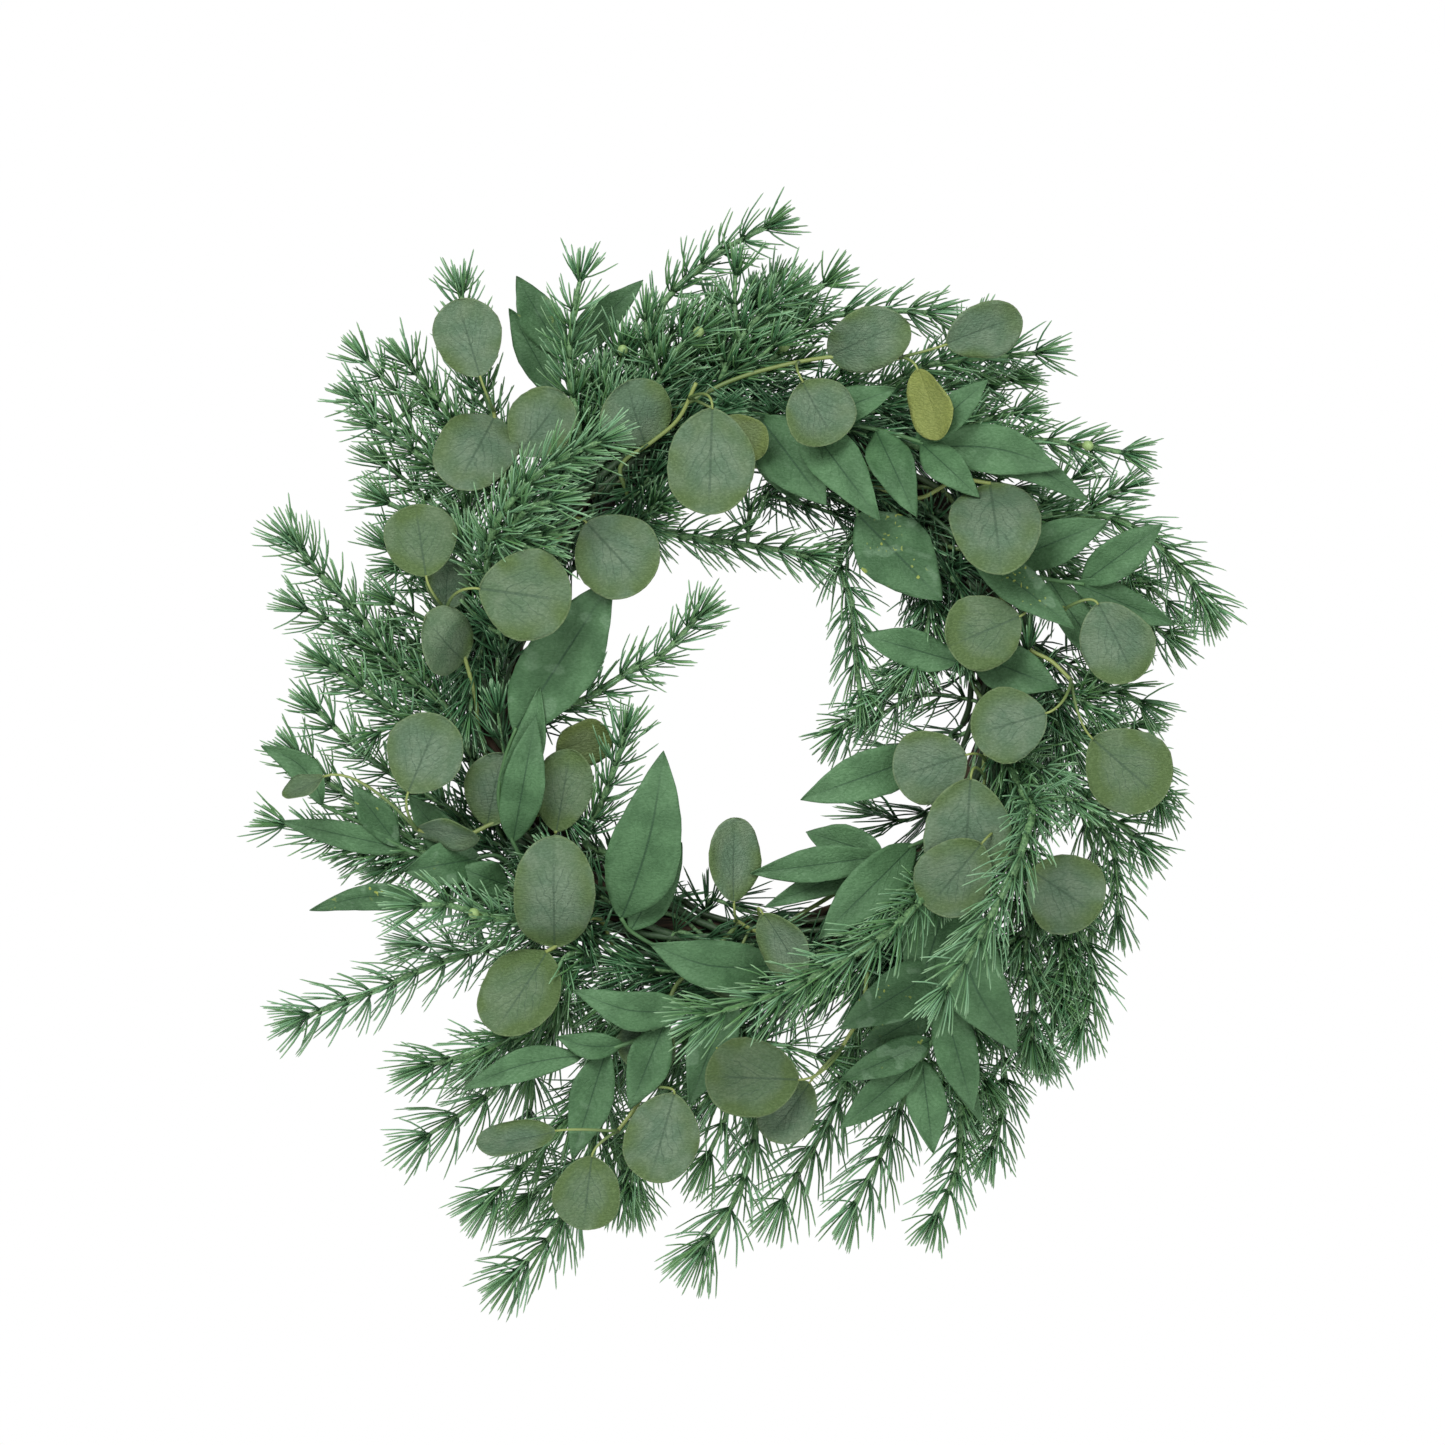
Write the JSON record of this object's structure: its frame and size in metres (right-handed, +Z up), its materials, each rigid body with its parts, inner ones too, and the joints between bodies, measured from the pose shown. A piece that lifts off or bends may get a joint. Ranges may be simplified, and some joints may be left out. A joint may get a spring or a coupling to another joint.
{
  "type": "wreath",
  "caption": "Leaf wreath: a round ring of twisted vine with bound sprays of pine needles, round leaves and lance leaves, hung on a door hook by the ring's top.",
  "frame": {"origin": "the hook seat: the inner side of the vine ring at its top, in the ring's middle plane", "axes": "+Z up as it hangs, -Y towards the viewer, +X to the right seen from the front; the ring lies in the XZ plane"},
  "size_m": [0.5633, 0.1781, 0.6372],
  "materials": {
    "vine_bark": "matte bark",
    "green_wire": "satin",
    "pine_green": "matte",
    "grey_leaf_green": "matte",
    "lance_leaf_green": "matte"
  },
  "bodies": {
    "root": {"binding_1": "green_wire", "binding_2": "green_wire", "binding_3": "green_wire", "binding_4": "green_wire", "eucalyptus_bottom": "grey_leaf_green", "eucalyptus_bottom_left": "grey_leaf_green", "eucalyptus_inner_bottom": "grey_leaf_green", "eucalyptus_inner_left": "grey_leaf_green", "eucalyptus_left": "grey_leaf_green", "eucalyptus_left_fork": "grey_leaf_green", "eucalyptus_lower_left": "grey_leaf_green", "eucalyptus_right": "grey_leaf_green", "eucalyptus_right_fork": "grey_leaf_green", "eucalyptus_right_lower": "grey_leaf_green", "eucalyptus_right_upper": "grey_leaf_green", "eucalyptus_top": "grey_leaf_green", "eucalyptus_top_left": "grey_leaf_green", "eucalyptus_top_right": "grey_leaf_green", "lance_bottom": "lance_leaf_green", "lance_bottom_right": "lance_leaf_green", "lance_far_left": "lance_leaf_green", "lance_inner_left": "lance_leaf_green", "lance_inner_mid": "lance_leaf_green", "lance_inner_right": "lance_leaf_green", "lance_left": "lance_leaf_green", "lance_right_inner": "lance_leaf_green", "lance_right_lower": "lance_leaf_green", "lance_right_upper": "lance_leaf_green", "lance_top": "lance_leaf_green", "lance_top_left": "lance_leaf_green", "pine_bottom": "pine_green", "pine_bottom_fork": "pine_green", "pine_bottom_left": "pine_green", "pine_bottom_right": "pine_green", "pine_far_left": "pine_green", "pine_front_bottom": "pine_green", "pine_front_right": "pine_green", "pine_inner_left": "pine_green", "pine_inner_low": "pine_green", "pine_inner_right": "pine_green", "pine_inner_top": "pine_green", "pine_left": "pine_green", "pine_left_face": "pine_green", "pine_left_front": "pine_green", "pine_left_upper": "pine_green", "pine_lower_left": "pine_green", "pine_lower_right": "pine_green", "pine_right": "pine_green", "pine_right_hanging": "pine_green", "pine_right_upper": "pine_green", "pine_top": "pine_green", "pine_top_arc": "pine_green", "pine_top_left": "pine_green", "pine_top_outer": "pine_green", "pine_top_right": "pine_green", "pine_top_tuft": "pine_green", "vine_1": "vine_bark", "vine_2": "vine_bark", "vine_3": "vine_bark", "vine_4": "vine_bark"}
  },
  "joints": []
}
